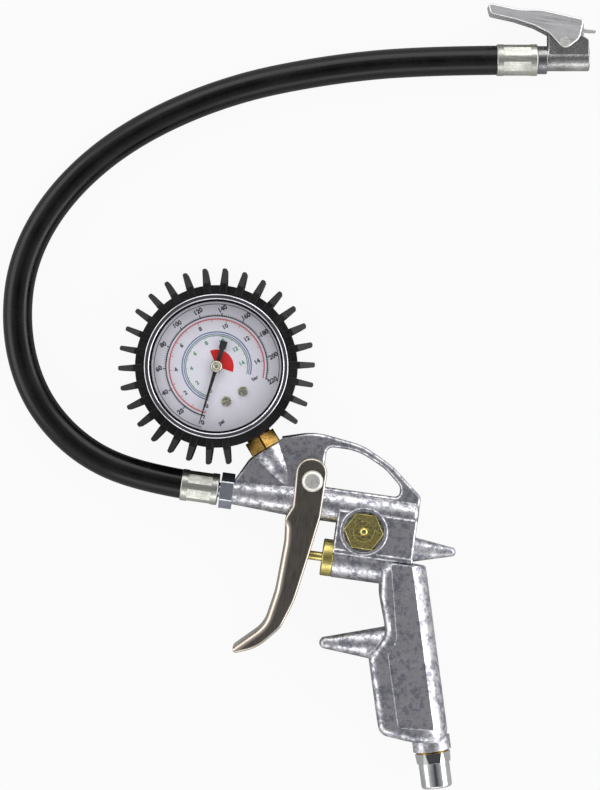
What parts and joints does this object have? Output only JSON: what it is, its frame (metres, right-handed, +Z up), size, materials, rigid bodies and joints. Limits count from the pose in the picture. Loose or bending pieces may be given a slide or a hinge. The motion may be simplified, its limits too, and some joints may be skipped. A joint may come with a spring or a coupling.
{
  "type": "tire pressure gauge",
  "caption": "Pistol-grip tyre inflator: cast body with hanger arch, squeeze trigger, dial gauge in a finned rubber boot, and a rubber hose with a clip-on lever chuck.",
  "frame": {"origin": "middle of the tool's base as it lies on its side, hose and chuck not counted", "axes": "+X along the barrel towards its closed rear end, +Y towards the gauge, +Z up through the dial"},
  "size_m": [0.2441, 0.3483, 0.03],
  "materials": {
    "cast_aluminium": "tumbled casting, bright rounded edges",
    "trigger_steel": "satin nickel",
    "bright_steel": "bright",
    "spring_steel": "plain wire",
    "olive_brass": "turned",
    "amber_brass": "dull",
    "screw_brass": "bright",
    "movement_brass": "stamped",
    "chrome_steel": "polished",
    "chrome_bezel": "polished",
    "zinc_nut": "bluish zinc",
    "zinc_ferrule": "yellowish zinc",
    "dark_steel": "dark plated",
    "zinc_chuck": "plated die casting",
    "lever_steel": "plated sheet",
    "painted_steel": "black",
    "boot_rubber": "matte moulded",
    "hose_rubber": "smooth, slightly glossy",
    "seal_rubber": "matte",
    "clear_lens": "clear",
    "dial_white": "satin white",
    "pointer_black": "satin"
  },
  "bodies": {
    "tool": {"body_casting": "cast_aluminium", "trigger_pin": "bright_steel", "trigger_pin_clip": "spring_steel", "valve_gland": "olive_brass", "stem_o_ring": "seal_rubber", "valve_spring": "spring_steel", "bleed_plug": "olive_brass", "bleed_spring": "spring_steel", "inlet_connector": "chrome_steel", "inlet_washer": "amber_brass", "inlet_screen": "spring_steel", "nose_nut": "zinc_nut", "hose_ferrule_gun": "zinc_ferrule", "gauge_boot": "boot_rubber", "gauge_case": "painted_steel", "gauge_bezel": "chrome_bezel", "gauge_lens": "clear_lens", "lens_gasket": "seal_rubber", "gauge_dial": "dial_white", "dial_screws": "screw_brass", "gauge_socket": "amber_brass", "bourdon_tube": "amber_brass", "tube_tip": "amber_brass", "movement_back_plate": "movement_brass", "movement_front_plate": "movement_brass", "movement_pillars": "movement_brass", "movement_screws": "bright_steel", "hairspring": "spring_steel", "hose": "hose_rubber", "hose_ferrule_chuck": "zinc_ferrule", "chuck_adapter": "dark_steel", "chuck_body": "zinc_chuck", "chuck_seal": "seal_rubber", "chuck_depressor": "screw_brass", "chuck_lever_pin": "bright_steel", "chuck_spring": "spring_steel"},
    "trigger": {"trigger": "trigger_steel"},
    "valve_stem": {"valve_stem": "olive_brass", "valve_seal": "seal_rubber"},
    "bleed_button": {"bleed_button": "olive_brass", "bleed_seal": "seal_rubber"},
    "sector": {"sector_gear": "movement_brass"},
    "link": {"movement_link": "movement_brass"},
    "pointer": {"pointer_arbor": "bright_steel", "gauge_pointer": "pointer_black"},
    "chuck_lever": {"chuck_lever": "lever_steel", "chuck_claw": "bright_steel"}
  },
  "joints": [
    {"name": "trigger_hinge", "type": "hinge", "parent": "tool", "child": "trigger", "pos_m": [0.00607, 0.02044, 0.013], "axis": [0, 0, 1], "range_deg": [0, 8], "stiffness_Nm_per_rad": 1},
    {"name": "valve_stem_slide", "type": "slide", "parent": "tool", "child": "valve_stem", "axis": [1, 0, 0], "range_m": [0, 0.0047], "deforming": ["valve_spring"]},
    {"name": "bleed_button_slide", "type": "slide", "parent": "tool", "child": "bleed_button", "axis": [0, 0, -1], "range_m": [0, 0.0015], "stiffness_N_per_m": 300, "deforming": ["bleed_spring"]},
    {"name": "sector_hinge", "type": "hinge", "parent": "tool", "child": "sector", "pos_m": [-0.03598, 0.05623, 0.013], "axis": [0, 0, 1], "range_deg": [0, 53.4], "stiffness_Nm_per_rad": 0.0005},
    {"name": "pointer_hinge", "type": "hinge", "parent": "tool", "child": "pointer", "pos_m": [-0.04263, 0.06444, 0.013], "axis": [0, 0, -1], "range_deg": [0, 267]},
    {"name": "link_hinge", "type": "hinge", "parent": "sector", "child": "link", "pos_m": [-0.03238, 0.05617, 0.01595], "axis": [0, 0, 1], "range_deg": [-53.4, 0]},
    {"name": "chuck_lever_hinge", "type": "hinge", "parent": "tool", "child": "chuck_lever", "pos_m": [0.08955, 0.22792, 0.0076], "axis": [0, 0, 1], "range_deg": [0, 18], "stiffness_Nm_per_rad": 0.05, "deforming": ["chuck_spring"]}
  ],
  "couplings": [
    {"joint": "valve_stem_slide", "follows": "trigger_hinge", "m_per_rad": 0.0327},
    {"joint": "pointer_hinge", "follows": "sector_hinge", "ratio": 5},
    {"joint": "link_hinge", "follows": "sector_hinge", "ratio": -1}
  ]
}
